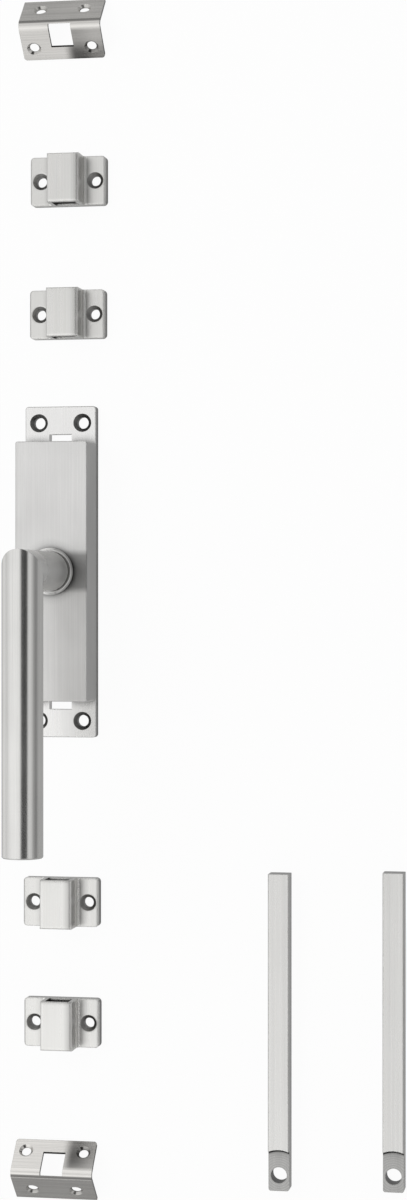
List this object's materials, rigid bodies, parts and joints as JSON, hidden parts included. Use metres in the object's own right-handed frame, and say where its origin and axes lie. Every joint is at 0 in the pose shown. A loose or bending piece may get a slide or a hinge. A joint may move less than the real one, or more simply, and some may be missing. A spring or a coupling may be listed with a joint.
{
  "type": "espagnolette bolt",
  "caption": "Satin steel espagnolette bolt kit: a slim case with an L lever that turns a pinion between racks, bolt rods, rod guides and angle strike plates laid out flat.",
  "frame": {"origin": "on the spindle axis, at the back face of the case", "axes": "+X across the case, +Y up along the rods, +Z out of the door along the spindle towards the lever"},
  "size_m": [0.1895, 0.5812, 0.0895],
  "materials": {
    "satin_stainless": "satin brushed stainless steel",
    "machined_steel": "machined and lightly oiled",
    "screw_steel": "bright drawn",
    "black_nylon": "moulded nylon"
  },
  "bodies": {
    "door_side": {"back_plate": "satin_stainless", "case_cover": "satin_stainless", "cover_collar": "satin_stainless", "lever_bush": "black_nylon", "bearing_bridge": "machined_steel", "cover_screws": "screw_steel", "upper_strike_plate": "satin_stainless", "lower_strike_plate": "satin_stainless", "upper_outer_guide": "satin_stainless", "upper_inner_guide": "satin_stainless", "lower_inner_guide": "satin_stainless", "lower_outer_guide": "satin_stainless"},
    "handle": {"lever_handle": "satin_stainless", "square_spindle": "machined_steel", "lever_grub_screw": "screw_steel", "lever_circlip": "screw_steel", "pinion": "machined_steel"},
    "upper_carriage": {"upper_rack": "machined_steel", "upper_rack_stud": "machined_steel"},
    "lower_carriage": {"lower_rack": "machined_steel", "lower_rack_stud": "machined_steel"},
    "upper_bolt": {"upper_rod": "satin_stainless"},
    "lower_bolt": {"lower_rod": "satin_stainless"}
  },
  "joints": [
    {"name": "lever_turn", "type": "hinge", "parent": "door_side", "child": "handle", "pos_m": [0, 0, 0], "axis": [0, 0, 1], "range_deg": [0, 180]},
    {"name": "upper_rack_slide", "type": "slide", "parent": "door_side", "child": "upper_carriage", "axis": [0, 1, 0], "range_m": [-0.0252, 0]},
    {"name": "lower_rack_slide", "type": "slide", "parent": "door_side", "child": "lower_carriage", "axis": [0, 1, 0], "range_m": [0, 0.0252]},
    {"name": "upper_rod_slide", "type": "slide", "parent": "door_side", "child": "upper_bolt", "axis": [0, 1, 0], "range_m": [-0.0252, 0]},
    {"name": "lower_rod_slide", "type": "slide", "parent": "door_side", "child": "lower_bolt", "axis": [0, 1, 0], "range_m": [-0.0252, 0]}
  ],
  "couplings": [
    {"joint": "upper_rack_slide", "follows": "lever_turn", "m_per_rad": -0.008},
    {"joint": "lower_rack_slide", "follows": "lever_turn", "m_per_rad": 0.008},
    {"joint": "upper_rod_slide", "follows": "lever_turn", "m_per_rad": -0.008},
    {"joint": "lower_rod_slide", "follows": "lever_turn", "m_per_rad": -0.008}
  ]
}
